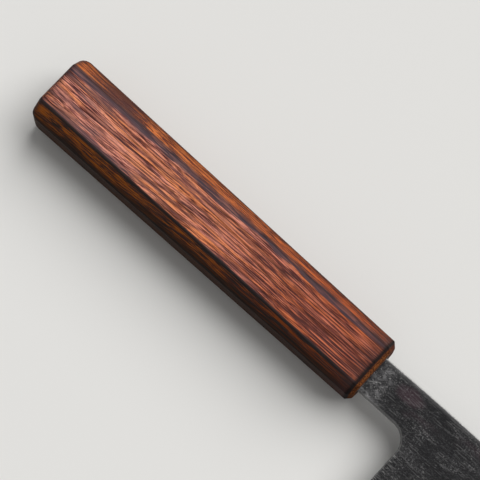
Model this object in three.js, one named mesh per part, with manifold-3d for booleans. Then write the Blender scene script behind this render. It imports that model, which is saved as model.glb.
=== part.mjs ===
// Santoku knife with a one-piece octagonal wood handle, laid on its left face.
// Millimetres. +X runs from the butt to the tip, +Y from the edge to the spine, and +Z up
// through the right face. Sizes are set out from the handle's front face (x = 0) and the
// handle's axis (y = 0, z = 0); the finished knife is then stood on the floor, origin under
// the middle of its box.

import * as THREE from "three";
import { mergeVertices } from "three/addons/utils/BufferGeometryUtils.js";
import Module from "manifold-3d";

const wasm = await Module();
wasm.setup();

const { lerp, degToRad } = THREE.MathUtils;

// Handle
const handleLength = 132;
const frontWidth = 22; // edge side to spine side
const buttWidth = 24.8;
const frontThickness = 18; // broad flat to broad flat
const buttThickness = 20;
const broadFlat = 15.4; // width of each broad flat, the same all along
const frontSideFlat = 9.2; // width of each narrow side flat
const buttSideFlat = 10.4;
const arrisRadius = 0.5;
const frontBevel = 1.6;
const buttRadius = 1.3;

// Neck and tang
const neckLength = 20.9; // handle to heel
const neckHeight = 13.2;
const neckDrop = 0.5; // neck's middle below the handle's axis
const choilRadius = 6.4;
const woodBehindTang = 40;
const tangEndHeight = 7;
const tangEndThickness = 2.4;

// Blade outline
const bladeLength = 165; // heel to tip
const heelHeight = 46; // spine to edge at the heel
const spineRise = 0.45; // crest of the spine above the neck's top at the handle
const spineCrest = 27; // crest ahead of the handle
const spineStraight = 86; // how far the spine holds its line past the crest
const spineTipAngle = 52; // degrees, spine down to the tip
const spineTipPull = 47;
const tipRise = 7; // tip above the edge at the heel
const edgeHeelAngle = 0.6; // degrees, edge below level at the heel
const edgeStraight = 85;
const edgeTipAngle = 16; // degrees, edge up to the tip
const edgeTipPull = 40;

// Blade section
const heelSpineThickness = 3;
const heelRidgeThickness = 2.6; // where the ground bevel starts
const tipThickness = 1.4;
const bevelHeight = 13; // edge to ridge
const bevelBelly = 0.07; // how far each bevel swells from flat
const finalBevelHeight = 0.8;
const behindEdgeThickness = 0.4;
const edgeThickness = 0.12;
const coreThickness = 1;

// Bedding of the tang
const bedThickness = 0.6;
const bedGap = 0.3; // between the bedding and what it lies against
const sealDepth = 2.5;

// Fineness of the curves
const arrisSteps = 3;
const buttSteps = 5;
const bladeStations = 36;
const outlineSegments = 28;
const overrun = 15; // how far a cutting shape runs past what it cuts

const tangLength = handleLength - woodBehindTang;
const neckTop = neckHeight / 2 - neckDrop;
const neckBottom = -neckHeight / 2 - neckDrop;
const spineTop = neckTop + spineRise;
const heel = new THREE.Vector2(neckLength, spineTop - heelHeight);
const tip = new THREE.Vector2(neckLength + bladeLength, heel.y + tipRise);

// Solid from a closed geometry, for cutting and joining.
function solid(geometry) {
  const bare = geometry.clone();
  bare.deleteAttribute("normal");
  bare.deleteAttribute("uv");
  const merged = mergeVertices(bare, 1e-5);
  return new wasm.Manifold(
    new wasm.Mesh({
      numProp: 3,
      vertProperties: new Float32Array(merged.attributes.position.array),
      triVerts: new Uint32Array(merged.index.array),
    }),
  );
}

// Geometry of a cut or joined solid, with flat shading.
function geometryOf(shape) {
  const mesh = shape.getMesh();
  const geometry = new THREE.BufferGeometry();
  geometry.setAttribute("position", new THREE.BufferAttribute(mesh.vertProperties, 3));
  geometry.setIndex(new THREE.BufferAttribute(mesh.triVerts, 1));
  const flat = geometry.toNonIndexed();
  flat.computeVertexNormals();
  return flat;
}

// Closed skin over rings of equal count, each counter-clockwise seen from +X, with flat ends.
function loft(rings) {
  const count = rings[0].length;
  const last = (rings.length - 1) * count;
  const index = [];
  for (let start = 0; start < last; start += count) {
    for (let j = 0; j < count; j++) {
      const a = start + j;
      const b = start + ((j + 1) % count);
      index.push(a, b, b + count, a, b + count, a + count);
    }
  }
  for (let j = 1; j < count - 1; j++) {
    index.push(0, j + 1, j);
    index.push(last, last + j, last + j + 1);
  }
  const geometry = new THREE.BufferGeometry().setFromPoints(rings.flat());
  geometry.setIndex(index);
  return solid(geometry);
}

// Handle section at x: eight sides, each moved in by inset, with rounded arrises.
// A corner is where two sides moved in by the arris radius cross, and its arc is swung there.
function octagonRing(x, inset) {
  const back = -x / handleLength;
  const halfWidth = lerp(frontWidth, buttWidth, back) / 2;
  const halfThickness = lerp(frontThickness, buttThickness, back) / 2;
  const halfSide = lerp(frontSideFlat, buttSideFlat, back) / 2;
  const halfBroad = broadFlat / 2;
  const slant = Math.atan2(halfWidth - halfBroad, halfThickness - halfSide);
  const slantReach = Math.cos(slant) * halfBroad + Math.sin(slant) * halfThickness;
  const angles = [0, slant, Math.PI / 2, Math.PI - slant];
  const reaches = [halfWidth, slantReach, halfThickness, slantReach];
  const sides = [0, Math.PI].flatMap((turn) =>
    angles.map((angle, i) => ({ angle: angle + turn, reach: reaches[i] - inset - arrisRadius })),
  );
  return sides.flatMap((side, i) => {
    const next = sides[(i + 1) % sides.length];
    const swing = (next.angle - side.angle + 2 * Math.PI) % (2 * Math.PI);
    const y = (side.reach * Math.sin(next.angle) - next.reach * Math.sin(side.angle)) / Math.sin(swing);
    const z = (next.reach * Math.cos(side.angle) - side.reach * Math.cos(next.angle)) / Math.sin(swing);
    return Array.from({ length: arrisSteps + 1 }, (_, step) => {
      const angle = side.angle + (swing * step) / arrisSteps;
      return new THREE.Vector3(x, y + arrisRadius * Math.cos(angle), z + arrisRadius * Math.sin(angle));
    });
  });
}

// Handle without its mortise: butt rounded over a quarter circle, front bevelled at 45 degrees.
function handleBlock() {
  const rings = [];
  for (let step = 0; step <= buttSteps; step++) {
    const turn = ((Math.PI / 2) * step) / buttSteps;
    const x = -handleLength + buttRadius * (1 - Math.sin(turn));
    rings.unshift(octagonRing(x, buttRadius * (1 - Math.cos(turn))));
  }
  rings.push(octagonRing(-frontBevel, 0));
  rings.push(octagonRing(0, frontBevel));
  return loft(rings);
}

// Half the blade's thickness on its flat faces, a plane set by the thickness at three places.
const faceRidge = new THREE.Vector2(heel.x, heel.y + bevelHeight);
const fallDown = (heelSpineThickness - heelRidgeThickness) / 2 / (spineTop - faceRidge.y);
const fallTip = (heelSpineThickness - tipThickness) / 2 - fallDown * (spineTop - tip.y);
const fallAlong = fallTip / bladeLength;
function faceHalf(x, y) {
  return heelSpineThickness / 2 - fallAlong * (x - heel.x) - fallDown * (spineTop - y);
}

// Half the tang's thickness, from its root inside the mouth of the handle to its end.
const tangRootHalf = faceHalf(-sealDepth, neckTop);
function tangHalf(x) {
  return lerp(tangRootHalf, tangEndThickness / 2, -x / tangLength);
}

const edgeCurve = new THREE.CubicBezierCurve(
  heel,
  new THREE.Vector2(1, 0)
    .rotateAround(new THREE.Vector2(), degToRad(-edgeHeelAngle))
    .multiplyScalar(edgeStraight)
    .add(heel),
  new THREE.Vector2(-1, 0)
    .rotateAround(new THREE.Vector2(), degToRad(edgeTipAngle))
    .multiplyScalar(edgeTipPull)
    .add(tip),
  tip,
);

// Section of the blade standing on a point of the edge: final bevel, swelled bevel, flat face.
// Heights run square to the edge, and the ring goes down the right face and up the left one.
function bladeRing(foot, up) {
  const heights = [0, finalBevelHeight, (finalBevelHeight + bevelHeight) / 2, bevelHeight, heelHeight + overrun];
  const spots = heights.map((height) => up.clone().multiplyScalar(height).add(foot));
  const ridgeHalf = faceHalf(spots[3].x, spots[3].y);
  const behindEdge = behindEdgeThickness / 2;
  const halves = [
    edgeThickness / 2,
    behindEdge,
    (behindEdge + ridgeHalf) / 2 + bevelBelly,
    ridgeHalf,
    faceHalf(spots[4].x, spots[4].y),
  ];
  const right = spots.map((spot, i) => new THREE.Vector3(spot.x, spot.y, halves[i])).reverse();
  const left = spots.map((spot, i) => new THREE.Vector3(spot.x, spot.y, -halves[i]));
  return [...right, ...left];
}

// Section of the stock that the tang is cut from, the same half thickness all the way up.
function tangStockRing(x) {
  const ring = bladeRing(new THREE.Vector2(x, heel.y), new THREE.Vector2(0, 1));
  return ring.map((point) => new THREE.Vector3(x, point.y, Math.sign(point.z) * tangHalf(x)));
}

// Ground bar: tang stock, neck, then the blade's section carried along the edge past the tip.
function groundBar() {
  const rings = [
    tangStockRing(-tangLength - overrun),
    bladeRing(new THREE.Vector2(-sealDepth, heel.y), new THREE.Vector2(0, 1)),
  ];
  for (let i = 0; i < bladeStations; i++) {
    const t = (i + 0.5) / bladeStations;
    const along = edgeCurve.getTangent(t);
    rings.push(bladeRing(edgeCurve.getPoint(t), new THREE.Vector2(-along.y, along.x)));
  }
  const along = edgeCurve.getTangent(1);
  const past = along.clone().multiplyScalar(overrun).add(tip);
  rings.push(bladeRing(past, new THREE.Vector2(-along.y, along.x)));
  return loft(rings);
}

// Side outline of the blade, neck and tang. It runs below the edge, which the grinding makes.
function sideOutline() {
  const tangEndRadius = tangEndHeight / 2;
  const tangArc = -tangLength + tangEndRadius;
  const below = heel.y - overrun;
  const tipAngle = degToRad(spineTipAngle);
  const outline = new THREE.Shape();
  outline.moveTo(tangArc, -tangEndRadius);
  outline.lineTo(0, neckBottom);
  outline.lineTo(heel.x - choilRadius, neckBottom);
  outline.absarc(heel.x - choilRadius, neckBottom - choilRadius, choilRadius, Math.PI / 2, 0, true);
  outline.lineTo(heel.x, below);
  outline.lineTo(tip.x + (tip.y - below) / Math.tan(tipAngle), below);
  outline.lineTo(tip.x, tip.y);
  outline.bezierCurveTo(
    tip.x - spineTipPull * Math.cos(tipAngle),
    tip.y + spineTipPull * Math.sin(tipAngle),
    spineCrest + spineStraight,
    spineTop,
    spineCrest,
    spineTop,
  );
  outline.quadraticCurveTo(spineCrest / 2, spineTop, 0, neckTop);
  outline.lineTo(tangArc, tangEndRadius);
  outline.absarc(tangArc, 0, tangEndRadius, Math.PI / 2, (3 * Math.PI) / 2, false);
  const depth = 2 * (heelSpineThickness + overrun);
  const geometry = new THREE.ExtrudeGeometry(outline, {
    depth,
    bevelEnabled: false,
    curveSegments: outlineSegments,
  });
  return solid(geometry.translate(0, 0, -depth / 2));
}

// Slab of one layer of the blade, from z = low to z = high.
function layer(low, high) {
  const reach = 2 * (handleLength + neckLength + bladeLength);
  const slab = new THREE.BoxGeometry(reach, reach, high - low);
  return solid(slab.translate(0, 0, (low + high) / 2));
}

// Section of the tang at x, grown on every side: four corners, for the mortise and its bedding.
function tangRing(x, grow) {
  const back = -x / tangLength;
  const top = lerp(neckTop, tangEndHeight / 2, back) + grow;
  const bottom = lerp(neckBottom, -tangEndHeight / 2, back) - grow;
  const half = tangHalf(x) + grow;
  return [
    new THREE.Vector3(x, top, -half),
    new THREE.Vector3(x, top, half),
    new THREE.Vector3(x, bottom, half),
    new THREE.Vector3(x, bottom, -half),
  ];
}

// Tapered block round the tang between two stations, grown on every side.
function tangBlock(from, to, grow) {
  return loft([tangRing(from, grow), tangRing(to, grow)]);
}

const blade = groundBar().intersect(sideOutline());
const half = coreThickness / 2;
const mortiseGrow = bedThickness + 2 * bedGap;
const bedGrow = bedThickness + bedGap;
const tangRoom = tangBlock(-tangLength - bedGap, overrun, bedGap);
const outer = heelSpineThickness + overrun;

const shapes = {
  core_steel: blade.intersect(layer(-half, half)),
  right_cladding: blade.intersect(layer(half, outer)),
  left_cladding: blade.intersect(layer(-outer, -half)),
  handle_body: handleBlock().subtract(tangBlock(-tangLength - mortiseGrow, overrun, mortiseGrow)),
  tang_adhesive: tangBlock(-tangLength - bedGrow, -sealDepth, bedGrow).subtract(tangRoom),
  mouth_seal: tangBlock(-sealDepth, 0, bedGrow).subtract(tangRoom),
};

const finishes = {
  core_steel: { color: 0xb9bcbf, roughness: 0.3, metalness: 1 },
  right_cladding: { color: 0x3a3a3c, roughness: 0.55, metalness: 0.8 },
  left_cladding: { color: 0x3a3a3c, roughness: 0.55, metalness: 0.8 },
  handle_body: { color: 0x8a4a2a, roughness: 0.45, metalness: 0 },
  tang_adhesive: { color: 0xb59a5a, roughness: 0.4, metalness: 0 },
  mouth_seal: { color: 0x2a211a, roughness: 0.6, metalness: 0 },
};

const knife = new THREE.Group();
for (const [name, shape] of Object.entries(shapes)) {
  const mesh = new THREE.Mesh(geometryOf(shape), new THREE.MeshStandardMaterial(finishes[name]));
  mesh.name = name;
  knife.add(mesh);
}

// Stand the knife on the floor, with the origin under the middle of its box.
const box = new THREE.Box3().setFromObject(knife);
const middle = box.getCenter(new THREE.Vector3());
knife.position.set(-middle.x, -middle.y, -box.min.z);

export default knife;
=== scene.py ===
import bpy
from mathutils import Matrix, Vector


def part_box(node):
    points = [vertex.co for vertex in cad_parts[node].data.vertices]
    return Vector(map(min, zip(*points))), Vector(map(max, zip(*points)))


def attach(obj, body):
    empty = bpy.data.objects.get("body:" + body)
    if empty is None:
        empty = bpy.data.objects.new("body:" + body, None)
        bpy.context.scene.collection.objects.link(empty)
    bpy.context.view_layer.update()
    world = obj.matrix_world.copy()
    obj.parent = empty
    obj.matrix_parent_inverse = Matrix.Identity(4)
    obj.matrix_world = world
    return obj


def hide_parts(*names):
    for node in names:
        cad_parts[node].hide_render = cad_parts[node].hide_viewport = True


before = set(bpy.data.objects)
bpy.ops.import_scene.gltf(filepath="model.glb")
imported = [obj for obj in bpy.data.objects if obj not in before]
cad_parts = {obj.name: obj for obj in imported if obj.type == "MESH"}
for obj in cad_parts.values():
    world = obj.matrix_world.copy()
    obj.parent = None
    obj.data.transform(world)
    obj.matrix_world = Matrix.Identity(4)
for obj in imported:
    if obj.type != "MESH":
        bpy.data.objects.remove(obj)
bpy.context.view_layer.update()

# Santoku knife with an octagonal wood handle: the looks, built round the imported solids.
# Shapes are worked out in millimetres from the datum, the middle of the handle's front face:
# x runs towards the tip, y from the edge to the spine, z up through the right face.

import itertools
import math

import bmesh
import bpy
import numpy as np
from mathutils import Matrix

MM = 0.001

# Datum and lengths that the solids give
handle_low, handle_high = (np.array(corner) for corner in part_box("handle_body"))
core_low, core_high = (np.array(corner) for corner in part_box("core_steel"))
DATUM = np.array([handle_high[0], *(handle_low[1:] + handle_high[1:]) / 2])
HANDLE_LENGTH = (handle_high[0] - handle_low[0]) / MM
TANG_LENGTH = (DATUM[0] - core_low[0]) / MM
TIP_X = (core_high[0] - DATUM[0]) / MM
CORE_HALF = (core_high[2] - core_low[2]) / MM / 2

# Handle
FRONT_WIDTH, BUTT_WIDTH = 22.0, 24.8
FRONT_THICKNESS, BUTT_THICKNESS = 18.0, 20.0
BROAD_FLAT = 15.4
FRONT_SIDE_FLAT, BUTT_SIDE_FLAT = 9.2, 10.4
ARRIS_RADIUS = 0.5
FRONT_BEVEL = 1.6
BEVEL_EASE = 0.25
BUTT_RADIUS = 1.3
BUTT_CROWN = 2.4
BUTT_CROWN_REACH = 14.0
GRAIN_DEPTH = 0.05
GRAIN_LEAN = 3.0
LONG_FURROW, SHORT_FURROW = (26, 1.1, 1.1), (11, 0.6, 0.6)
SHORT_FURROW_SHARE = 0.45
ARRIS_GRAIN_SHARE = 0.25
ARRIS_GRAIN_FADE = 1.5
FRONT_GRAIN_FADE = 0.8

# Neck and tang
NECK_LENGTH = 20.9
NECK_HEIGHT = 13.2
NECK_DROP = 0.5
CHOIL_RADIUS = 6.4
TANG_END_HEIGHT = 7.0
TANG_END_THICKNESS = 2.4
BED_ROOM = 1.2
SEAL_DEPTH = 2.5
SEAL_CLEARANCE = 0.03
SEAL_DISH = 0.25

# Blade outline
HEEL_HEIGHT = 46.0
SPINE_RISE = 0.45
SPINE_CREST = 27.0
SPINE_STRAIGHT = 86.0
SPINE_TIP_ANGLE = 52.0
SPINE_TIP_PULL = 47.0
TIP_RISE = 7.0
EDGE_HEEL_ANGLE = 0.6
EDGE_STRAIGHT = 85.0
EDGE_TIP_ANGLE = 16.0
EDGE_TIP_PULL = 40.0

# Blade section
HEEL_SPINE_THICKNESS = 3.0
HEEL_RIDGE_THICKNESS = 2.6
TIP_THICKNESS = 1.4
BEVEL_HEIGHT = 13.0
BEVEL_BELLY = 0.07
FINAL_BEVEL = 0.8
BEHIND_EDGE_HALF = 0.2
EDGE_HALF = 0.06
OUTLINE_EASE = 0.35
SCALE_RELIEF = 0.02
WIDE_MARK, SMALL_MARK = (7, 4, 1), (2.6, 1.8, 1)
SMALL_MARK_SHARE = 0.4
RIDGE_MARK_FADE, HANDLE_MARK_FADE, OUTLINE_MARK_FADE = 3.0, 3.0, 2.0
EASED_CLADDING = 0.6

# Marks in the finishes: where they lie, and how far they reach
PALE_FIGURE, PALE_REACH = (-79, -3.3), (26, 2.6)
SMOKE_X, SMUDGE_X = -116, -114
NECK_HEAT, NECK_HEAT_REACH = (13, 2.2), (6, 3)

# Places that follow from the sizes
NECK_TOP = NECK_HEIGHT / 2 - NECK_DROP
NECK_BOTTOM = -NECK_HEIGHT / 2 - NECK_DROP
SPINE_TOP = NECK_TOP + SPINE_RISE
HEEL = np.array([NECK_LENGTH, SPINE_TOP - HEEL_HEIGHT])
TIP = np.array([TIP_X, HEEL[1] + TIP_RISE])
CHOIL_X = NECK_LENGTH - CHOIL_RADIUS
CHOIL_MIDDLE = np.array([CHOIL_X, NECK_BOTTOM - CHOIL_RADIUS])

# Fineness of the grids
SIDE_STEPS, SLANT_STEPS, BROAD_STEPS, ARRIS_STEPS = 26, 14, 40, 5
BUTT_STEPS, EASE_STEPS, BODY_STATIONS = 9, 6, 210
BUTT_RINGS, FRONT_RINGS, MORTISE_RINGS, MORTISE_END_RINGS = 10, 9, 12, 4
CURVE_STEPS, NECK_STEPS, SPINE_STEPS, HEEL_STEPS, HEIGHT_STEPS = 800, 120, 1500, 300, 300
TANG_COLUMNS, NECK_COLUMNS, CHOIL_COLUMNS, HEEL_COLUMNS = 20, 34, 26, 30
RIDGE_COLUMNS, TIP_COLUMNS = 160, 40
FLAT_ROWS, BEVEL_ROWS, CORE_ROWS = 34, 16, 8
FAN_X = 72.0
CAP_COLUMNS = 8
EASE_ROWS = np.array([0, 0.06, 0.2, 0.42, 0.7, 1.0, 1.6])
CARRY_BACK, CARRY_AHEAD, CARRY_GAP = 120.0, 10.0, 0.2
CARRY_BACK_STEPS, CARRY_AHEAD_STEPS = 400, 40
UNDERSIDE_START, UNDERSIDE_STEPS = -2.0, 150
DISTANCE_PARTS = 24
STOPPING_TURNS, STOPPING_STEPS = 240, 9
NOISE_CELLS = 32
WELD_DISTANCE = 1e-6
SHARP_ANGLE = 35.0
CREASE_TOLERANCE = 0.02
SEED_SHIFT = (17.3, 5.1, 9.7)

# Camera, fitted to the corners of the handle in the picture
CAMERA_LEAN_EDGE = 10.157
CAMERA_LEAN_TIP = 7.773
CAMERA_ROLL = 41.937
CAMERA_DISTANCE = 684.1
CAMERA_TARGET = (-57.89, 3.196, 0.0)
PICTURE_SCALE = 3.251
PICTURE_SIZE = 480
SENSOR = 36.0


# Helpers for shapes


def lerp(a, b, t):
    """Point a share t of the way from a to b."""
    return a + (b - a) * t


def shares(count):
    """Even shares from 0 to 1, each for a whole ring of points."""
    return np.linspace(0, 1, count)[:, None, None]


def joined(x, y):
    """Points from two lists of coordinates, one of which may be a single number."""
    return np.stack(np.broadcast_arrays(x, y), -1).astype(float)


def grid_faces(rows, cols, wrap=False):
    """Corner numbers of the quads of a rows by cols grid; wrap joins the last column to the first."""
    index = np.arange(rows * cols).reshape(rows, cols)
    here = index if wrap else index[:, :-1]
    there = np.roll(index, -1, 1) if wrap else index[:, 1:]
    return np.stack([here[:-1], there[:-1], there[1:], here[1:]], -1).reshape(-1, 4)


def patch(points, labels, wrap=False):
    """A grid of points as (points, faces, labels), with a value per point for each label."""
    faces = grid_faces(*points.shape[:2], wrap)
    return points.reshape(-1, 3), faces, {name: values.ravel() for name, values in labels.items()}


def smooth_noise(points, size, seed):
    """Noise from 0 to 1: seeded random values on a lattice, blended smoothly between its corners."""
    table = np.random.default_rng(seed).random((NOISE_CELLS,) * 3)
    cells = points / np.asarray(size, float)
    base = np.floor(cells).astype(int)
    share = cells - base
    share = share * share * (3 - 2 * share)
    total = 0
    for corner in itertools.product((0, 1), repeat=3):
        weight = np.prod(np.where(np.array(corner) == 1, share, 1 - share), -1)
        at = (base + corner) % NOISE_CELLS
        total = total + weight * table[at[..., 0], at[..., 1], at[..., 2]]
    return total


def crease_along(mesh, label):
    """Mark as sharp the edges along which a label is zero."""
    value = np.zeros(len(mesh.vertices), np.float32)
    mesh.attributes[label].data.foreach_get("value", value)
    ends = np.zeros(len(mesh.edges) * 2, np.int32)
    mesh.edges.foreach_get("vertices", ends)
    sharp = np.zeros(len(mesh.edges), bool)
    mesh.attributes["sharp_edge"].data.foreach_get("value", sharp)
    sharp |= (np.abs(value[ends.reshape(-1, 2)]) < CREASE_TOLERANCE).all(1)
    mesh.attributes["sharp_edge"].data.foreach_set("value", sharp)


def make_piece(name, patches, crease=None):
    """Mesh object from patches, welded into one closed skin with its faces turned outwards.

    Edges that turn by more than the sharp angle are sharp, and so are those along which the label
    named by crease is zero.
    """
    starts = np.cumsum([0] + [len(points) for points, _, _ in patches])
    points = DATUM + np.concatenate([points for points, _, _ in patches]) * MM
    faces = np.concatenate([faces + start for (_, faces, _), start in zip(patches, starts)])
    mesh = bpy.data.meshes.new(name)
    mesh.from_pydata(points, [], faces)
    for label in patches[0][2]:
        values = np.concatenate([labels[label] for _, _, labels in patches])
        layer = mesh.attributes.new(label, "FLOAT", "POINT")
        layer.data.foreach_set("value", values.astype(np.float32))
    skin = bmesh.new()
    skin.from_mesh(mesh)
    bmesh.ops.remove_doubles(skin, verts=skin.verts, dist=WELD_DISTANCE)
    bmesh.ops.dissolve_degenerate(skin, edges=skin.edges, dist=WELD_DISTANCE / 10)
    bmesh.ops.recalc_face_normals(skin, faces=skin.faces)
    skin.to_mesh(mesh)
    skin.free()
    mesh.shade_smooth()
    mesh.set_sharp_from_angle(angle=math.radians(SHARP_ANGLE))
    if crease:
        crease_along(mesh, crease)
    piece = bpy.data.objects.new(name, mesh)
    bpy.context.scene.collection.objects.link(piece)
    return piece


def quadratic(start, bend, end, steps):
    """Points of the curve that leaves start towards bend and reaches end from it."""
    start, bend, end = np.array(start, float), np.array(bend, float), np.array(end, float)
    t = np.linspace(0, 1, steps)[:, None]
    return lerp(lerp(start, bend, t), lerp(bend, end, t), t)


def cubic(start, pull, back_pull, end, steps):
    """Points and directions of the curve from start to end that is pulled by the two points between."""
    t = np.linspace(0, 1, steps)[:, None]
    ahead, behind = lerp(start, pull, t), lerp(pull, back_pull, t)
    last = lerp(back_pull, end, t)
    left, right = lerp(ahead, behind, t), lerp(behind, last, t)
    along = right - left
    return lerp(left, right, t), along / np.linalg.norm(along, axis=1, keepdims=True)


def polar(length, degrees):
    """Vector of that length, turned up from +x by the angle."""
    return length * np.array([math.cos(math.radians(degrees)), math.sin(math.radians(degrees))])


# Handle


def octagon_rings(x, inset):
    """Eight-sided rings at the stations x, every side moved in by inset.

    A corner is where two neighbouring sides, moved in by the arris radius as well, cross; its arc
    swings from one side's direction to the next one's, and a straight run leads to the next arc.
    Returns the points, each point's distance from the nearest arris, and 1 on the broad flats.
    """
    back = -x / HANDLE_LENGTH
    half_width = lerp(FRONT_WIDTH, BUTT_WIDTH, back) / 2
    half_thick = lerp(FRONT_THICKNESS, BUTT_THICKNESS, back) / 2
    half_side = lerp(FRONT_SIDE_FLAT, BUTT_SIDE_FLAT, back) / 2
    half_broad = BROAD_FLAT / 2
    slant = np.arctan2(half_width - half_broad, half_thick - half_side)
    slant_reach = np.cos(slant) * half_broad + np.sin(slant) * half_thick
    half_turn = np.stack([0 * x, slant, 0 * x + np.pi / 2, np.pi - slant], 1)
    angle = np.concatenate([half_turn, half_turn + np.pi], 1)
    reach = np.stack([half_width, slant_reach, half_thick, slant_reach] * 2, 1)
    reach = reach - inset[:, None] - ARRIS_RADIUS
    next_angle = np.concatenate([angle[:, 1:], angle[:, :1] + 2 * np.pi], 1)
    next_reach = np.roll(reach, -1, 1)
    swing = next_angle - angle
    corner = np.stack([
        (reach * np.sin(next_angle) - next_reach * np.sin(angle)) / np.sin(swing),
        (next_reach * np.cos(angle) - reach * np.cos(next_angle)) / np.sin(swing),
    ], -1)

    def on_arc(i, share):
        turn = angle[:, i, None] + swing[:, i, None] * share
        return corner[:, i, None] + ARRIS_RADIUS * joined(np.cos(turn), np.sin(turn))

    runs, arris, broad = [], [], []
    side_steps = [SIDE_STEPS, SLANT_STEPS, BROAD_STEPS, SLANT_STEPS] * 2
    for i in range(8):
        following = (i + 1) % 8
        arc = on_arc(i, np.linspace(0, 1, ARRIS_STEPS))
        share = np.linspace(0, 1, side_steps[following] + 2)[1:-1]
        start, end = arc[:, -1:], on_arc(following, np.zeros(1))
        length = np.linalg.norm(end - start, axis=-1)
        flat = lerp(start, end, share[:, None])
        runs += [arc, flat]
        arris += [np.zeros(arc.shape[:2]), length * np.minimum(share, 1 - share)]
        broad += [np.full(arc.shape[:2], 0.5), np.full(flat.shape[:2], float(following % 4 == 2))]
    yz = np.concatenate(runs, 1)
    points = np.concatenate([np.broadcast_to(x[:, None, None], (*yz.shape[:2], 1)), yz], -1)
    return points, np.concatenate(arris, 1), np.concatenate(broad, 1)


def grained(rings, arris):
    """Rings pressed in along their outward normals by furrows, shallower at the arrises and the front."""
    along = (np.roll(rings, -1, 1) - np.roll(rings, 1, 1))[..., 1:]
    outward = joined(along[..., 1], -along[..., 0])
    outward /= np.linalg.norm(outward, axis=-1, keepdims=True)
    leaning = rings - [0, 1, 0] * rings[..., :1] * math.tan(math.radians(GRAIN_LEAN))
    long, short = smooth_noise(leaning, LONG_FURROW, 11), smooth_noise(leaning, SHORT_FURROW, 12)
    furrow = lerp(long, short, SHORT_FURROW_SHARE)
    depth = GRAIN_DEPTH * furrow * np.clip(arris / ARRIS_GRAIN_FADE, ARRIS_GRAIN_SHARE, 1)
    depth = depth * np.clip((-FRONT_BEVEL - rings[..., 0]) / FRONT_GRAIN_FADE, 0, 1)
    moved = rings.copy()
    moved[..., 1:] -= outward * depth[..., None]
    return moved


def crowned(points):
    """Points near the butt pushed forward by a quarter circle towards the spine and the edge side."""
    outside = np.clip(1 + (np.abs(points[..., 1]) - BUTT_WIDTH / 2) / BUTT_CROWN, 0, 1)
    near = np.clip(1 - (points[..., 0] + HANDLE_LENGTH) / BUTT_CROWN_REACH, 0, 1)
    moved = points.copy()
    moved[..., 0] += BUTT_CROWN * (1 - np.sqrt(1 - outside**2)) * near
    return moved


def slot_ring(x, grow, turn):
    """Rectangle of the tang's section at x, grown all round: where rays from its middle meet it."""
    back = -x / TANG_LENGTH
    top = lerp(NECK_TOP, TANG_END_HEIGHT / 2, back) + grow
    bottom = lerp(NECK_BOTTOM, -TANG_END_HEIGHT / 2, back) - grow
    half = lerp(face_half(-SEAL_DEPTH, NECK_TOP), TANG_END_THICKNESS / 2, back) + grow
    across, up = np.cos(turn), np.sin(turn)
    half_height = (top - bottom) / 2
    reach = 1 / np.maximum(np.abs(across) / half_height, np.abs(up) / half)
    return np.stack([0 * turn + x, (top + bottom) / 2 + reach * across, reach * up], -1)


def handle_patch():
    """Octagonal rings along the handle: a profile of (station, inset) pairs carried from butt to front.

    The butt turns over a quarter circle and closes on its middle, and its corners fall away. The front
    bevel is eased at both edges, the front face runs in to the mortise's mouth, and the mortise closes
    at its bottom.
    """
    turn = np.linspace(0, np.pi / 2, BUTT_STEPS)
    butt = joined(-HANDLE_LENGTH + BUTT_RADIUS * (1 - np.cos(turn)), BUTT_RADIUS * (1 - np.sin(turn)))
    ease = BEVEL_EASE * math.sqrt(0.5)
    rear_start = -FRONT_BEVEL - BEVEL_EASE
    body = joined(np.linspace(-HANDLE_LENGTH + BUTT_RADIUS, rear_start, BODY_STATIONS + 2)[1:-1], 0)
    rear_edge = quadratic((rear_start, 0), (-FRONT_BEVEL, 0), (ease - FRONT_BEVEL, ease), EASE_STEPS)
    bevel_end = (0, FRONT_BEVEL + BEVEL_EASE)
    front_edge = quadratic((-ease, FRONT_BEVEL - ease), (0, FRONT_BEVEL), bevel_end, EASE_STEPS)
    profile = np.concatenate([butt, body, rear_edge, front_edge])
    rings, arris, broad = octagon_rings(profile[:, 0], profile[:, 1])
    rings = grained(rings, arris)
    rim = rings[-1]
    around = np.arctan2(rim[:, 2], rim[:, 1])
    mouth = slot_ring(0.0, BED_ROOM, around)
    bottom = slot_ring(-TANG_LENGTH - BED_ROOM, BED_ROOM, around)
    butt_face = lerp(np.array([-HANDLE_LENGTH, 0, 0]), rings[0], shares(BUTT_RINGS)[:-1])
    front_face = lerp(rim, mouth, shares(FRONT_RINGS)[1:])
    mortise = lerp(mouth, bottom, shares(MORTISE_RINGS)[1:])
    mortise_end = lerp(bottom, bottom.mean(0), shares(MORTISE_END_RINGS)[1:])
    points = crowned(np.concatenate([butt_face, rings, front_face, mortise, mortise_end]))
    before = len(butt_face)
    after = len(points) - before - len(rings)
    labels = {
        "arris_mm": np.pad(arris, ((before, after), (0, 0)), "edge"),
        "broad": np.pad(broad, ((before, after), (0, 0)), "edge"),
        "butt": np.pad(np.ones_like(butt_face[..., 0]), ((0, after + len(rings)), (0, 0))),
    }
    return patch(points, labels, wrap=True)


# Blade

# Fall of the flat faces: for each millimetre down, in all on the way to the tip, and for each one along
FALL_DOWN = (HEEL_SPINE_THICKNESS - HEEL_RIDGE_THICKNESS) / 2 / (HEEL_HEIGHT - BEVEL_HEIGHT)
FALL_TIP = (HEEL_SPINE_THICKNESS - TIP_THICKNESS) / 2 - FALL_DOWN * (SPINE_TOP - TIP[1])
FALL_ALONG = FALL_TIP / (TIP_X - HEEL[0])


def face_half(x, y):
    """Half the thickness on the flat faces: a plane that falls towards the tip and towards the edge."""
    return HEEL_SPINE_THICKNESS / 2 - FALL_ALONG * (x - HEEL[0]) - FALL_DOWN * (SPINE_TOP - y)


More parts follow.
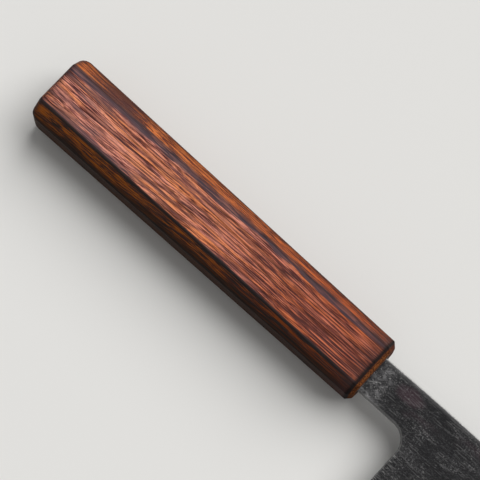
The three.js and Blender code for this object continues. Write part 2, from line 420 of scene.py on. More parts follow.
def bevel_half(height, ridge_half):
    """Half thickness at a height over the edge: a steep final bevel, then a swelled bevel."""
    share = np.clip((height - FINAL_BEVEL) / (BEVEL_HEIGHT - FINAL_BEVEL), 0, 1)
    ground = lerp(BEHIND_EDGE_HALF, ridge_half, share) + 4 * BEVEL_BELLY * share * (1 - share)
    final = lerp(EDGE_HALF, BEHIND_EDGE_HALF, np.clip(height / FINAL_BEVEL, 0, 1))
    return np.where(height < FINAL_BEVEL, final, ground)


def directions(path):
    """Unit direction of a path at each of its points."""
    along = np.gradient(path, axis=0)
    return along / np.linalg.norm(along, axis=1, keepdims=True)


def uprights(along):
    """Directions turned a quarter turn to the left."""
    return joined(-along[:, 1], along[:, 0])


def spine_between(start, end, count):
    """Points of the spine between two stations, evenly spaced in x."""
    x = np.linspace(start, end, count)
    return joined(x, np.interp(x, SPINE[:, 0], SPINE[:, 1]))


def evenly(path, count):
    """Points spaced evenly along a path."""
    run = np.concatenate([[0], np.cumsum(np.linalg.norm(np.diff(path, axis=0), axis=1))])
    at = np.linspace(0, run[-1], count)
    return joined(np.interp(at, run, path[:, 0]), np.interp(at, run, path[:, 1]))


def line_above_edge(height):
    """Line at a height over the edge, from the heel line to where it meets the spine."""
    line = EDGE + uprights(EDGE_ALONG) * height
    over = line[:, 1] - np.interp(line[:, 0], SPINE[:, 0], SPINE[:, 1])
    last = np.argmax(over > 0)
    end = lerp(line[last - 1], line[last], over[last - 1] / (over[last - 1] - over[last]))
    end[1] = np.interp(end[0], SPINE[:, 0], SPINE[:, 1])
    inside = line[:last][line[:last, 0] > HEEL[0]]
    slope = (inside[1, 1] - inside[0, 1]) / (inside[1, 0] - inside[0, 0])
    start = [HEEL[0], inside[0, 1] - slope * (inside[0, 0] - HEEL[0])]
    return np.concatenate([[start], inside, [end]])


EDGE_CURVE, EDGE_CURVE_ALONG = cubic(
    HEEL,
    HEEL + polar(EDGE_STRAIGHT, -EDGE_HEEL_ANGLE),
    TIP - polar(EDGE_TIP_PULL, EDGE_TIP_ANGLE),
    TIP,
    CURVE_STEPS,
)
CREST = np.array([SPINE_CREST, SPINE_TOP])
SPINE_CURVE, _ = cubic(
    CREST,
    CREST + polar(SPINE_STRAIGHT, 0),
    TIP + polar(SPINE_TIP_PULL, 180 - SPINE_TIP_ANGLE),
    TIP,
    CURVE_STEPS,
)
NECK_CURVE = quadratic((0, NECK_TOP), (SPINE_CREST / 2, SPINE_TOP), CREST, NECK_STEPS)
SPINE = np.concatenate([NECK_CURVE[:-1], SPINE_CURVE])

# The edge carried on behind the heel and ahead of the tip, so that every point has a height over it
GOING_BACK = np.linspace(-CARRY_BACK, -CARRY_GAP, CARRY_BACK_STEPS)[:, None]
GOING_AHEAD = np.linspace(CARRY_GAP, CARRY_AHEAD, CARRY_AHEAD_STEPS)[:, None]
BEHIND_HEEL = HEEL + GOING_BACK * EDGE_CURVE_ALONG[0]
PAST_TIP = TIP + GOING_AHEAD * EDGE_CURVE_ALONG[-1]
EDGE = np.concatenate([BEHIND_HEEL, EDGE_CURVE, PAST_TIP])
EDGE_ALONG = directions(EDGE)
EDGE_RIDGE_HALF = face_half(*(EDGE + uprights(EDGE_ALONG) * BEVEL_HEIGHT).T)
HEIGHTS = np.linspace(0, BEVEL_HEIGHT, HEIGHT_STEPS)
CORE_HEIGHT = np.array([
    np.interp(CORE_HALF, bevel_half(HEIGHTS, ridge_half), HEIGHTS) for ridge_half in EDGE_RIDGE_HALF
])
RIDGE_LINE = line_above_edge(BEVEL_HEIGHT)
CORE_LINE = line_above_edge(CORE_HEIGHT[:, None])

# Free outline of the blade outside the handle: neck and heel, then the spine
CHOIL_SWING = np.linspace(np.pi / 2, 0, NECK_STEPS)
CHOIL_ARC = CHOIL_MIDDLE + CHOIL_RADIUS * joined(np.cos(CHOIL_SWING), np.sin(CHOIL_SWING))
NECK_UNDERSIDE = joined(np.linspace(UNDERSIDE_START, CHOIL_X, UNDERSIDE_STEPS), NECK_BOTTOM)
HEEL_SIDE = joined(HEEL[0], np.linspace(CHOIL_MIDDLE[1], HEEL[1], HEEL_STEPS))
FREE_PATHS = [
    np.concatenate([NECK_UNDERSIDE[:-1], CHOIL_ARC[:-1], HEEL_SIDE]),
    spine_between(0, TIP_X, SPINE_STEPS),
]
FREE_POINTS = np.concatenate(FREE_PATHS)
FREE_NORMALS = np.concatenate([uprights(directions(path)) for path in FREE_PATHS])


def square_distance(points, path, normals):
    """Distance of each point from a path, square to it, and the number of the path's nearest point."""
    flat = points.reshape(-1, 2)
    parts = np.array_split(flat, DISTANCE_PARTS)
    foot = np.concatenate([((part[:, None] - path) ** 2).sum(-1).argmin(1) for part in parts])
    distance = ((flat - path[foot]) * normals[foot]).sum(-1)
    return distance.reshape(points.shape[:-1]), foot.reshape(points.shape[:-1])


def blade_half(grid):
    """Half thickness of the finished blade over a grid, with heights over the ridge and the core's line.

    The ground bevel below the ridge and the flat face above it, and in the tang a taper to its end.
    """
    x, y = grid[..., 0], grid[..., 1]
    height, foot = square_distance(grid, EDGE, uprights(EDGE_ALONG))
    half = np.where(height < BEVEL_HEIGHT, bevel_half(height, EDGE_RIDGE_HALF[foot]), face_half(x, y))
    tang = lerp(face_half(-SEAL_DEPTH, NECK_TOP), TANG_END_THICKNESS / 2, -x / TANG_LENGTH)
    labels = {"ridge_mm": height - BEVEL_HEIGHT, "core_mm": height - CORE_HEIGHT[foot]}
    return np.where(x < -SEAL_DEPTH, np.minimum(half, tang), half), labels


def clad_half(grid):
    """Half thickness over the cladding: the blade's, less shallow forge marks and an eased outline.

    The ease is a quarter circle along the free outline, smaller where the cladding is thin and gone a
    millimetre inside the handle. The distances from the outline join the other labels.
    """
    half, labels = blade_half(grid)
    x = grid[..., 0]
    away, _ = square_distance(grid, FREE_POINTS, FREE_NORMALS)
    flat_points = np.concatenate([grid, 0 * grid[..., :1]], -1)
    wide, small = smooth_noise(flat_points, WIDE_MARK, 21), smooth_noise(flat_points, SMALL_MARK, 22)
    marks = lerp(wide, small, SMALL_MARK_SHARE)
    forged = np.clip(labels["ridge_mm"] / RIDGE_MARK_FADE, 0, 1) * np.clip(x / HANDLE_MARK_FADE, 0, 1)
    forged = forged * np.clip(np.abs(away) / OUTLINE_MARK_FADE, 0, 1)
    radius = OUTLINE_EASE * np.clip((half - CORE_HALF) / EASED_CLADDING, 0, 1) * np.clip(x + 1, 0, 1)
    inside = np.clip(radius - np.abs(away), 0, radius)
    ease = radius - np.sqrt(radius**2 - inside**2)
    labels["rim_mm"] = np.abs(away)
    return np.maximum(half - ease - SCALE_RELIEF * marks * forged, CORE_HALF), labels


def stock_paths(lower_run):
    """Lower and upper outline of the tang, neck and heel, then of lower_run and of the spine above it.

    Both hold as many points as each other and start together at the tang's end. The upper path runs
    ahead over the choil and the heel, so that the lines from one to the other fan forward.
    """
    radius = TANG_END_HEIGHT / 2
    turn = np.linspace(np.pi, np.pi / 2, CAP_COLUMNS)
    cap = joined(-TANG_LENGTH + radius * (1 + np.cos(turn)), radius * np.sin(turn))
    share = np.linspace(0, 1, TANG_COLUMNS)[1:, None]
    tang_top = lerp(cap[-1], np.array([0, NECK_TOP]), share)
    tang_bottom = lerp(cap[-1] * (1, -1), np.array([0, NECK_BOTTOM]), share)
    neck_bottom = joined(np.linspace(0, CHOIL_X, NECK_COLUMNS)[1:], NECK_BOTTOM)
    choil = evenly(CHOIL_ARC, CHOIL_COLUMNS)[1:]
    heel_side = joined(HEEL[0], np.linspace(CHOIL_MIDDLE[1], lower_run[0, 1], HEEL_COLUMNS)[1:])
    lower = np.concatenate([cap * (1, -1), tang_bottom, neck_bottom, choil, heel_side, lower_run[1:]])
    upper = np.concatenate([
        cap,
        tang_top,
        spine_between(0, CHOIL_X, NECK_COLUMNS)[1:],
        spine_between(CHOIL_X, FAN_X, len(choil) + len(heel_side) + 1)[1:],
        spine_between(FAN_X, lower_run[-1, 0], len(lower_run))[1:],
    ])
    return lower, upper


def between(lower, upper, rows, eased_below=True):
    """Grid on straight lines from lower to upper, with closer rows along the sides that are eased.

    The closer rows take up a quarter of a short line at each eased side.
    """
    span = np.linalg.norm(upper - lower, axis=1)[:, None]
    band = OUTLINE_EASE * EASE_ROWS
    band = band * np.minimum(1, span / (4 * band[-1]))
    start = band if eased_below else band[:, [0, -1]]
    inner = lerp(start[:, -1:], span - band[:, -1:], np.linspace(0, 1, rows)[1:-1])
    at = np.concatenate([start, inner, span - band[:, ::-1]], 1) / np.maximum(span, 1e-9)
    return lerp(lower[:, None], upper[:, None], at[..., None])


def plate(grid, top, bottom, labels, walls):
    """Patches of a plate over a grid: its top, its bottom, and the walls between them.

    walls lists the lines of the grid that have a wall, as pairs of column and row selections.
    """
    skins = [np.concatenate([grid, level[..., None]], -1) for level in (top, bottom)]
    patches = [patch(skin, labels) for skin in skins]
    for columns, rows in walls:
        wall = np.stack([skin[columns, rows] for skin in skins], 1)
        wall_labels = {name: np.stack([values[columns, rows]] * 2, 1) for name, values in labels.items()}
        patches.append(patch(wall, wall_labels))
    return patches


ALL = slice(None)


def cladding_patches(side):
    """One outer layer: the flat face above the ridge, and the bevel from there to the core's line."""
    ridge = evenly(RIDGE_LINE, RIDGE_COLUMNS)
    lower, upper = stock_paths(ridge)
    flat = between(lower, upper, FLAT_ROWS)
    half, labels = clad_half(flat)
    free = slice(0, len(lower) - len(ridge) + 1)
    patches = plate(flat, half, 0 * half + CORE_HALF, labels, [(free, 0), (ALL, -1)])
    spine = spine_between(ridge[-1, 0], CORE_LINE[-1, 0], TIP_COLUMNS + 1)
    upper = np.concatenate([ridge, spine[1:]])
    bevel = between(evenly(CORE_LINE, len(upper)), upper, BEVEL_ROWS, eased_below=False)
    half, labels = clad_half(bevel)
    half[:, 0] = CORE_HALF
    walls = [(slice(len(ridge) - 1, None), -1), (0, ALL)]
    patches += plate(bevel, half, 0 * half + CORE_HALF, labels, walls)
    return [(points * (1, 1, side), faces, labels) for points, faces, labels in patches]


def core_patches():
    """The middle layer: a flat plate down to the core's line, and the bevels from there to the edge."""
    line = evenly(CORE_LINE, RIDGE_COLUMNS)
    lower, upper = stock_paths(line)
    flat = between(lower, upper, CORE_ROWS)
    _, labels = blade_half(flat)
    level = np.full(flat.shape[:2], CORE_HALF)
    free = slice(0, len(lower) - len(line) + 1)
    patches = plate(flat, level, -level, labels, [(free, 0), (ALL, -1)])
    spine = spine_between(line[-1, 0], TIP_X, TIP_COLUMNS + 1)
    upper = np.concatenate([line, spine[1:]])
    bevel = between(evenly(EDGE_CURVE, len(upper)), upper, BEVEL_ROWS)
    half, labels = blade_half(bevel)
    half = np.minimum(half, CORE_HALF)
    walls = [(ALL, 0), (slice(len(line) - 1, None), -1), (0, ALL)]
    return patches + plate(bevel, half, -half, labels, walls)


def stopping_patch():
    """Stopping between the neck and the mortise's mouth: a closed profile carried round the neck.

    The front is dished by a half sine between the neck and the wood, the back is flat.
    """
    turn = np.linspace(0, 2 * np.pi, STOPPING_TURNS, endpoint=False)
    share = shares(STOPPING_STEPS)
    grow_in, grow_out = SEAL_CLEARANCE, BED_ROOM - SEAL_CLEARANCE
    front = lerp(slot_ring(0.0, grow_in, turn), slot_ring(0.0, grow_out, turn), share)
    front[..., 0] -= SEAL_DISH * np.sin(np.pi * share[..., 0])
    back = lerp(slot_ring(-SEAL_DEPTH, grow_out, turn), slot_ring(-SEAL_DEPTH, grow_in, turn), share)
    rings = np.concatenate([front, back, front[:1]])
    return patch(rings, {}, wrap=True)


# Finishes


class Wire:
    """One output of a shader node. Arithmetic with numbers and other wires adds Math nodes."""

    def __init__(self, finish, socket):
        self.finish = finish
        self.socket = socket

    def math(self, operation, first, second):
        """Wire from a Math node on two values."""
        return self.finish.node("ShaderNodeMath", {"operation": operation}, {0: first, 1: second})

    def __add__(self, other):
        return self.math("ADD", self, other)

    def __radd__(self, other):
        return self.math("ADD", other, self)

    def __sub__(self, other):
        return self.math("SUBTRACT", self, other)

    def __rsub__(self, other):
        return self.math("SUBTRACT", other, self)

    def __mul__(self, other):
        return self.math("MULTIPLY", self, other)

    def __rmul__(self, other):
        return self.math("MULTIPLY", other, self)

    def __truediv__(self, other):
        return self.math("DIVIDE", self, other)

    def __rtruediv__(self, other):
        return self.math("DIVIDE", other, self)

    def __pow__(self, other):
        return self.math("POWER", self, other)

    def __abs__(self):
        return self.finish.node("ShaderNodeMath", {"operation": "ABSOLUTE"}, {0: self})


def tint(red, green, blue):
    """Colour as a shader takes it, from the 0 to 255 values that a screen shows."""
    values = np.array([red, green, blue]) / 255
    linear = np.where(values <= 0.04045, values / 12.92, ((values + 0.055) / 1.055) ** 2.4)
    return (*(float(value) for value in linear), 1.0)


class Finish:
    """A material in the making, or the world. A place on it is read in millimetres from the datum."""

    def __init__(self, name, world=None):
        self.owner = world or bpy.data.materials.new(name)
        self.owner.use_nodes = True
        self.tree = self.owner.node_tree
        self.tree.nodes.clear()

    def node(self, kind, settings=None, sockets=None, output=0):
        """Add a node with its settings and its sockets' values or wires, and return one output."""
        node = self.tree.nodes.new(kind)
        for name, value in (settings or {}).items():
            if name == "stops":
                self.set_stops(node.color_ramp, value)
            else:
                setattr(node, name, value)
        for name, value in (sockets or {}).items():
            if isinstance(value, Wire):
                self.tree.links.new(value.socket, node.inputs[name])
            else:
                node.inputs[name].default_value = value
        return Wire(self, node.outputs[output]) if node.outputs else None

    def set_stops(self, ramp, stops):
        """Give a ramp its stops, as pairs of place and colour."""
        while len(ramp.elements) < len(stops):
            ramp.elements.new(1.0)
        for element, (place, colour) in zip(ramp.elements, stops):
            element.position = place
            element.color = colour

    def place(self):
        """Millimetres from the datum, as a vector."""
        spot = self.node("ShaderNodeTexCoord", output="Object")
        offset = tuple(float(value) for value in -DATUM / MM)
        sockets = {0: spot, 1: (1 / MM,) * 3, 2: offset}
        return self.node("ShaderNodeVectorMath", {"operation": "MULTIPLY_ADD"}, sockets)

    def axes(self, vector):
        """The three parts of a vector."""
        return [self.node("ShaderNodeSeparateXYZ", {}, {0: vector}, axis) for axis in range(3)]

    def vector(self, x, y, z):
        """A vector from its three parts."""
        return self.node("ShaderNodeCombineXYZ", {}, {0: x, 1: y, 2: z})

    def label(self, name):
        """Value of one of the piece's own attributes."""
        return self.node("ShaderNodeAttribute", {"attribute_name": name}, output="Fac")

    def noise(self, vector, size, seed=0, detail=2.0, roughness=0.5):
        """Noise from 0 to 1 with blots of the given size in millimetres along each axis."""
        scale = tuple(1 / length for length in size)
        sockets = {0: vector, 1: scale, 2: tuple(shift * seed for shift in SEED_SHIFT)}
        spot = self.node("ShaderNodeVectorMath", {"operation": "MULTIPLY_ADD"}, sockets)
        return self.node("ShaderNodeTexNoise", {"noise_dimensions": "3D"}, {
            "Vector": spot, "Scale": 1.0, "Detail": detail, "Roughness": roughness,
        })

    def step(self, value, low, high):
        """0 below low and 1 above high, smooth between; the other way round when low is the larger."""
        if low > high:
            return 1 - self.step(value, high, low)
        settings = {"interpolation_type": "SMOOTHSTEP"}
        sockets = {"Value": value, "From Min": low, "From Max": high}
        return self.node("ShaderNodeMapRange", settings, sockets)

    def oval(self, x, y, middle, reach):
        """0 in the middle of an oval and 1 along its outline, by the square of the distance."""
        return ((x - middle[0]) / reach[0]) ** 2 + ((y - middle[1]) / reach[1]) ** 2

    def mix(self, share, first, second, how="MIX"):
        """Colour a share of the way from first to second, or first changed by second in another way."""
        settings = {"data_type": "RGBA", "blend_type": how}
        return self.node("ShaderNodeMix", settings, {0: share, 6: first, 7: second}, 2)

    def ramp(self, value, stops):
        """Colour at a value between stops."""
        return self.node("ShaderNodeValToRGB", {"stops": stops}, {0: value})

    def bump(self, height, depth):
        """Normal over a relief of the given depth in millimetres."""
        sockets = {"Height": height, "Distance": depth * MM, "Strength": 1.0}
        return self.node("ShaderNodeBump", {}, sockets)

    def done(self, **sockets):
        """Close the material on a Principled shader."""
        named = {name.replace("_", " "): value for name, value in sockets.items()}
        shader = self.node("ShaderNodeBsdfPrincipled", {}, named)
        self.node("ShaderNodeOutputMaterial", {}, {"Surface": shader})
        return self.owner


def scorched_wood():
    """Open-grained wood, scorched and lacquered: fibres along the handle, charred arrises and front, a
    darker butt, and painted sheen and shade on the flats and slants.
    """
    wood = Finish("scorched_wood")
    place = wood.place()
    x, y, z = wood.axes(place)
    broad = wood.label("broad")
    arris = wood.label("arris_mm")
    spine_side = wood.step(y, -3, 3)
    # painted sheen and shade: 0 over the butt half, 1 at the front, where the painted sheen of the flats
    # fades and the colour darkens as painted shade
    forward = wood.step(x, -90, -15)

    # The grain climbs to the spine, most at the butt and near the edge, and wavers a little
    along = x / HANDLE_LENGTH + 1
    climb = (along * 1.3 - along * along * 0.5) * HANDLE_LENGTH
    lean = 0.06 - wood.step(y, -8, 8) * 0.055
    sway = wood.noise(place, (50, 14, 14), 1, 1) - 0.5
    ripple = wood.noise(place, (15, 4, 4), 2, 1) - 0.5
    grain = wood.vector(x, y - climb * lean + sway * 4 + ripple * 0.4, z + sway * 4)

    # Tone of the fibres, with a paler figure in the middle, and darker towards the front as painted
    # light: the painted sheen fades from the butt and painted shade deepens at the front
    zone = wood.noise(grain, (90, 6, 6), 3, 2) - 0.5
    strand = wood.noise(grain, (36, 0.65, 0.65), 4, 1, 0.6) - 0.5
    fibre = wood.noise(grain, (15, 0.4, 0.4), 5, 2, 0.7) - 0.5
    hairs = wood.noise(grain, (6, 0.22, 0.22), 18, 1) - 0.5
    warm = wood.step(wood.noise(grain, (30, 2.4, 2.4), 16, 3, 0.6), 0.38, 0.62)
    pale = wood.step(wood.oval(x, y, PALE_FIGURE, PALE_REACH) + zone * 3, 1.5, 0.1) * wood.step(z, -2, 2)
    tone = 0.62 + zone * 1.3 + strand * 1.3 + fibre * 5.2 + hairs * 1.6
    tone = tone + warm * 0.08 + pale * 0.22 - forward * 0.15 - wood.step(x, -85, -108) * 0.06
    slant_tone = tone + fibre * 2.2 + hairs

    # Pinker on the broad flats than on the slants, which is painted sheen, and darker on the edge-side
    # slants, which is painted shade, with warm streaks, purple streaks that paint a sheen, and dark pores
    dark_wood = tint(64, 30, 26)
    # painted sheen: the pink and salmon of the broad flats stands in for light reflected off the lacquer
    flat_colour_with_sheen = wood.ramp(tone, [
        (0.1, tint(72, 32, 31)),
        (0.32, tint(121, 65, 61)),
        (0.5, tint(165, 98, 88)),
        (0.68, tint(196, 122, 106)),
        (0.9, tint(228, 151, 128)),
    ])
    # painted shade: the edge-side slants take a darker copy of the slant colours
    shaded_edge_slant = wood.ramp(slant_tone, [
        (0.14, tint(26, 9, 2)),
        (0.4, tint(92, 41, 3)),
        (0.62, tint(128, 63, 6)),
        (0.85, tint(160, 86, 15)),
    ])
    spine_slant = wood.ramp(slant_tone, [
        (0.14, tint(76, 22, 6)),
        (0.4, tint(124, 52, 16)),
        (0.62, tint(167, 82, 35)),
        (0.85, tint(202, 113, 55)),
    ])
    colour = wood.mix(broad, wood.mix(spine_side, shaded_edge_slant, spine_slant), flat_colour_with_sheen)
    colour = wood.mix(warm * broad, colour, tint(255, 236, 178), "MULTIPLY")
    # streaks along the grain whose purple cast is a painted sheen, strongest towards the butt
    purple_sheen_streaks = wood.step(wood.noise(grain, (20, 0.9, 0.9), 13, 2), 0.5, 0.62)
    colour = wood.mix(purple_sheen_streaks * broad * (0.7 - along * 0.3), colour, tint(104, 66, 68))
    pores = wood.step(wood.noise(grain, (1.8, 0.3, 0.3), 15, 1), 0.56, 0.7)
    dashes = wood.step(wood.noise(grain, (11, 0.5, 0.5), 6, 1), 0.58, 0.64)
    colour = wood.mix(pores * 0.4, colour, dark_wood)
    colour = wood.mix(dashes * 0.68, colour, dark_wood)
    contour = abs(wood.noise(grain, (80, 1.2, 1.2), 7, 1) - 0.5)
    broken = wood.step(wood.noise(grain, (16, 3, 3), 8, 1), 0.42, 0.58)
    veins = wood.step(contour, 0.06, 0.015) * broken
    colour = wood.mix(veins * 0.6, colour, tint(58, 26, 22))
    # painted light: towards the front the pink painted sheen gives way to orange, and the colour darkens
    # as painted shade
    colour = wood.mix(forward, colour, tint(224, 192, 170), "MULTIPLY")

    # Scorched bands along the arrises, their bluish grey a painted sheen; scorching over the narrow
    # sides, heavier on the edge side as painted shade; darker at both ends
    scorch = wood.noise(place, (13, 3, 3), 9, 2)
    # painted sheen and scorch: charred bands along the arrises, tinted bluish grey for light reflected
    # off them
    band = wood.step(arris - scorch * (1.3 + spine_side * 2.0), 0.0, -0.5) * broad
    colour = wood.mix(band * 0.7, colour, tint(58, 54, 64))
    ring = wood.step(abs(x - SMOKE_X), 15, 4)
    smoke = wood.step(wood.noise(grain, (14, 1.6, 1.6), 17, 3) - arris * 0.05 + ring * 0.13, 0.36, 0.5)
    smoke = smoke * wood.step(x, -75, -105) * broad
    colour = wood.mix(smoke * 0.6, colour, tint(84, 64, 69))
    flame = wood.noise(grain, (12, 1.2, 1.2), 14, 2)
    upper_slant = spine_side * (1 - broad) * wood.step(z, 3, 6)
    smudge = wood.step(abs(x - SMUDGE_X) + (flame - 0.5) * 20, 16, 3) * upper_slant
    colour = wood.mix(smudge * 0.85, colour, tint(58, 25, 26))
    line = wood.step(arris, 0.7, 0.15) * (1 - spine_side * 0.5)
    colour = wood.mix(line * 0.95, colour, tint(12, 6, 6))
    # scorching over the narrow sides and lower slants, heavier on the edge side, where it is painted
    # shade
    char_and_shade = wood.step(abs(z) - (flame + scorch) * 2.2, 5.6, 3.6) * (0.9 - spine_side * 0.5)
    char_and_shade_colour = wood.ramp(fibre + 0.5, [(0.45, tint(14, 8, 5)), (0.65, tint(46, 25, 13))])
    colour = wood.mix(char_and_shade, colour, char_and_shade_colour)
    # darker over the last few millimetres at the butt
    butt = wood.step(x + wood.noise(place, (3, 2, 2), 11), -HANDLE_LENGTH + 3.4, -HANDLE_LENGTH + 0.8)
    front = wood.step(x + wood.noise(place, (6, 2, 2), 10) * 6, -8, 2)
    colour = wood.mix(butt * 0.7, colour, tint(40, 22, 22))
    colour = wood.mix(front * 0.75, colour, tint(54, 28, 26))
    seam = wood.step(abs(x + FRONT_BEVEL), 1.3, 0.05)
    colour = wood.mix(seam * 0.95, colour, tint(14, 9, 9))

    # End grain on the butt and on the front bevel and face
    butt_end = wood.step(wood.label("butt"), 0.15, 0.6)
    end = wood.step(x, -FRONT_BEVEL + 0.45, -FRONT_BEVEL + 0.65) + butt_end
    dots = wood.noise(place, (0.5, 0.45, 0.45), 12, 2)
    end_colour = wood.ramp(dots, [
        (0.36, tint(46, 21, 8)), (0.47, tint(86, 45, 18)), (0.6, tint(124, 71, 32)),
    ])
    end_colour = wood.mix(wood.step(y, 5, 9) * 0.8, end_colour, tint(62, 24, 16))
    end_colour = wood.mix(butt_end * 0.5, end_colour, tint(46, 24, 16))
    colour = wood.mix(end, colour, end_colour)

    rough = 0.42 + fibre * 0.25 + dashes * 0.12 + (end + char_and_shade + seam) * 0.3
    relief = wood.bump(strand * 0.5 + fibre - dashes * 0.5 - veins * 0.5, 0.1)
    return wood.done(Base_Color=colour, Roughness=rough, Specular_IOR_Level=0.15, Normal=relief)


def forged_steel():
    """Dark forge scale above the ridge, a satin ground bevel below it, and a bright rubbed outline."""
    steel = Finish("forged_steel")
    place = steel.place()
    x, y, z = steel.axes(place)
    over_ridge = steel.label("ridge_mm")
    rim = steel.label("rim_mm")
    hair = steel.noise(place, (14, 0.3, 3), 1, 2, 0.7)
    cloud = steel.noise(place, (9, 5, 5), 2, 3, 0.6)
    grit = steel.noise(place, (0.5, 0.35, 2), 3, 2, 0.7)
    scale = steel.ramp(cloud * 0.3 + hair * 0.3 + grit * 0.55 - 0.1, [
        (0.34, tint(17, 17, 18)), (0.5, tint(33, 33, 34)), (0.68, tint(70, 69, 70)),
    ])

    # Rubbed paler where the neck leaves the handle, with faint heat colours
    smear = steel.step(steel.noise(place, (2.4, 2.0, 3), 8, 4, 0.7), 0.44, 0.64)
    at_handle = steel.step(abs(x - 3) + (cloud - 0.5) * 12, 6, 1)
    scale = steel.mix(at_handle * (0.08 + smear * 0.6), scale, tint(104, 103, 104))
    neck_heat = steel.oval(x, y, NECK_HEAT, NECK_HEAT_REACH) + (cloud - 0.5) * 2
    neck_heat = steel.step(neck_heat, 1.1, 0.1)
    blade_heat = steel.step(steel.noise(place, (17, 9, 9), 9, 2), 0.58, 0.76)
    scale = steel.mix(neck_heat * 0.38 + blade_heat * 0.3, scale, tint(66, 48, 55))

    # Stray marks: streaks along the blade, scratches across it, patchy specks, and nicks at the heel
    at_heel = steel.step(rim + (cloud - 0.5) * 8, 4, 0.5) * steel.step(y, -10, -16)
    at_heel = at_heel * steel.step(x, 60, 40)
    streak = steel.step(steel.noise(place, (4, 0.28, 3), 10, 1), 0.58, 0.72)
    speck = steel.step(steel.noise(place, (0.45, 0.4, 2), 4, 1), 0.62, 0.74)
    slant = steel.vector(x * 0.8 + y * 0.6, y * 0.8 - x * 0.6, z)
    scratch = steel.step(steel.noise(slant, (7, 0.28, 2), 5, 1), 0.64, 0.76)
    nick = steel.step(steel.noise(place, (3, 0.24, 2), 11, 1), 0.56, 0.68)
    spine_side = steel.step(y, -8, 4)
    patchy = steel.step(cloud, 0.4, 0.62)
    marks = streak * 0.14 + speck * (0.08 + patchy * 0.3) + scratch * 0.08
    marks = marks + steel.step(rim, 1.8, 0.3) * spine_side * 0.16
    marks = marks + at_heel * nick * 0.7 + at_handle * (speck + scratch) * 0.4
    scale = steel.mix(marks, scale, tint(140, 139, 138))

    # Satin bevel, hazy along the weld, and a bright outline on the scale
    ground = steel.ramp(hair, [(0.3, tint(112, 113, 114)), (0.7, tint(156, 157, 158))])
    wander = steel.noise(place, (6, 3, 3), 7, 3) - 0.5
    weld = steel.step(steel.label("core_mm") + wander * 3, 1.3, 0.1)
    ground = steel.mix(weld * 0.6, ground, tint(92, 93, 95))
    dark = steel.step(over_ridge + wander * 0.6, -0.12, 0.12)
    colour = steel.mix(dark, ground, scale)
    worn = steel.step(rim + (grit - 0.5) * 0.5, 0.5, 0.15) * (0.3 + spine_side * 0.7) * dark
    colour = steel.mix(worn * 0.75, colour, tint(170, 169, 168))
    rough = 0.38 + hair * 0.12 + dark * (0.1 + cloud * 0.1) - worn * 0.12
    relief = steel.bump(hair * 0.6 + dark * (cloud + grit * 0.5), 0.012)
    return steel.done(Base_Color=colour, Roughness=rough, Metallic=0.9, Normal=relief)


def edge_steel():
    """Bright core steel with fine scratches square to the edge, hazy towards the cladding."""
    steel = Finish("edge_steel")
    place = steel.place()
    scratch = steel.noise(place, (0.1, 6, 2), 1, 2)
    wander = steel.noise(place, (5, 2, 2), 2, 3) - 0.5
    haze = steel.step(steel.label("core_mm") + wander * 3, -1.1, 0.2)
    colour = steel.ramp(scratch, [(0.3, tint(136, 138, 140)), (0.7, tint(176, 178, 180))])
    colour = steel.mix(haze * 0.7, colour, tint(112, 113, 115))
    rough = 0.3 + scratch * 0.16 + haze * 0.1
    relief = steel.bump(scratch, 0.006)
    return steel.done(Base_Color=colour, Roughness=rough, Metallic=1.0, Normal=relief)


def dark_stopping():
    """Dark stopping compound, slightly grainy."""
    stopping = Finish("dark_stopping")
    grit = stopping.noise(stopping.place(), (0.4, 0.4, 0.4), 1, 3)
    colour = stopping.ramp(grit, [(0.35, tint(30, 22, 18)), (0.65, tint(58, 44, 34))])
    return stopping.done(Base_Color=colour, Roughness=0.5 + grit * 0.3, Normal=stopping.bump(grit, 0.05))


def cured_resin():
    """Amber resin round the tang, cloudy inside."""
    resin = Finish("cured_resin")
    cloud = resin.noise(resin.place(), (4, 2, 2), 1, 3)
    colour = resin.ramp(cloud, [(0.35, tint(150, 118, 62)), (0.65, tint(188, 156, 92))])
    return resin.done(Base_Color=colour, Roughness=0.3 + cloud * 0.2, Normal=resin.bump(cloud, 0.05))


# Pieces


def dress(piece, node, material):
    """Put a finished piece in place of its solid."""
    piece.data.materials.append(material)
    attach(piece, "root")
    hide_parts(node)


cladding_finish = forged_steel()
dress(make_piece("handle", [handle_patch()]), "handle_body", scorched_wood())
for name, side, node in (("right_face", 1, "right_cladding"), ("left_face", -1, "left_cladding")):
    face = make_piece(name, cladding_patches(side), "ridge_mm")
    dress(face, node, cladding_finish)
dress(make_piece("core", core_patches()), "core_steel", edge_steel())
dress(make_piece("stopping", [stopping_patch()]), "mouth_seal", dark_stopping())
bed = bpy.data.objects["tang_adhesive"]
bed.data.materials.clear()
bed.data.materials.append(cured_resin())


# Stage

KEY_TOWARDS = (0.2, 0.62, 0.76)
KEY_ANGLE = 60.0
KEY_STRENGTH = 2.9
FLOOR_SIZE = 6.0
FLOOR_TINT = tint(226, 225, 222)
FLOOR_BOUNCE = tint(70, 70, 69)
WORLD_TINT = tint(222, 222, 221)
WORLD_LIGHT = tint(143, 143, 143)


def camera_ray(finish):
    """1 for rays that show the stage, straight or in a reflection, and 0 for bounced light."""
    seen = [
        finish.node("ShaderNodeLightPath", output=name)
        for name in ("Is Camera Ray", "Is Glossy Ray", "Is Transmission Ray")
    ]
    return 1 - (1 - seen[0]) * (1 - seen[1]) * (1 - seen[2])


def add_floor():
    """Level pale floor under the knife, darker for the light that it throws back."""
    mesh = bpy.data.meshes.new("floor")
    half = FLOOR_SIZE / 2
    corners = [(-half, -half, 0), (half, -half, 0), (half, half, 0), (-half, half, 0)]
    mesh.from_pydata(corners, [], [(0, 1, 2, 3)])
    floor = bpy.data.objects.new("floor", mesh)
    bpy.context.scene.collection.objects.link(floor)
    paper = Finish("floor_paper")
    colour = paper.mix(camera_ray(paper), FLOOR_BOUNCE, FLOOR_TINT)
    mesh.materials.append(paper.done(Base_Color=colour, Roughness=0.9))


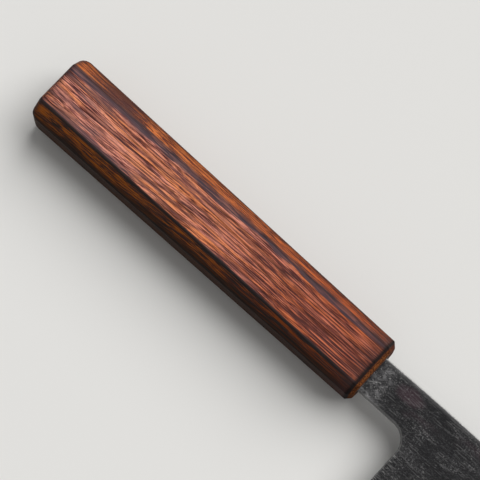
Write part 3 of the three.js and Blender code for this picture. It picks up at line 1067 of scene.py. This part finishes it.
def stand(thing, right, up, back, place):
    """Place a lamp or camera by the directions of its right, up and back."""
    turned = Matrix((right, up, back)).transposed().to_4x4()
    turned.translation = place
    thing.matrix_world = turned


def add_key():
    """Wide, even light from far away, over the spine side."""
    lamp = bpy.data.lights.new("key", "SUN")
    lamp.angle = math.radians(KEY_ANGLE)
    lamp.energy = KEY_STRENGTH
    lamp_object = bpy.data.objects.new("key", lamp)
    bpy.context.scene.collection.objects.link(lamp_object)
    back = np.array(KEY_TOWARDS) / np.linalg.norm(KEY_TOWARDS)
    right = np.cross([0, 0, 1], back)
    right /= np.linalg.norm(right)
    stand(lamp_object, right, np.cross(back, right), back, DATUM + back)


def add_world():
    """Even pale surroundings, dimmer as light than they look."""
    world = bpy.data.worlds.new("surroundings")
    bpy.context.scene.world = world
    air = Finish("surroundings", world)
    seen = air.mix(camera_ray(air), WORLD_LIGHT, WORLD_TINT)
    background = air.node("ShaderNodeBackground", {}, {"Color": seen, "Strength": 1.0})
    air.node("ShaderNodeOutputWorld", {}, {"Surface": background})


def add_camera():
    """Camera that looks at the handle from above, leaning to the edge and to the tip, and rolled."""
    lean_tip, lean_edge = math.radians(CAMERA_LEAN_TIP), math.radians(CAMERA_LEAN_EDGE)
    back = np.array([math.tan(lean_tip), -math.tan(lean_edge), 1.0])
    back /= np.linalg.norm(back)
    level = np.array([1.0, 0, 0]) - back * back[0]
    level /= np.linalg.norm(level)
    across = np.cross(back, level)
    roll = math.radians(CAMERA_ROLL)
    right = math.cos(roll) * level + math.sin(roll) * across
    lens = bpy.data.cameras.new("camera")
    lens.sensor_width = SENSOR
    lens.lens = SENSOR * PICTURE_SCALE * CAMERA_DISTANCE / PICTURE_SIZE
    camera = bpy.data.objects.new("camera", lens)
    bpy.context.scene.collection.objects.link(camera)
    place = DATUM + (np.array(CAMERA_TARGET) + back * CAMERA_DISTANCE) * MM
    stand(camera, right, np.cross(back, right), back, place)
    bpy.context.scene.camera = camera


add_floor()
add_key()
add_world()
add_camera()
bpy.context.scene.view_settings.view_transform = "Standard"
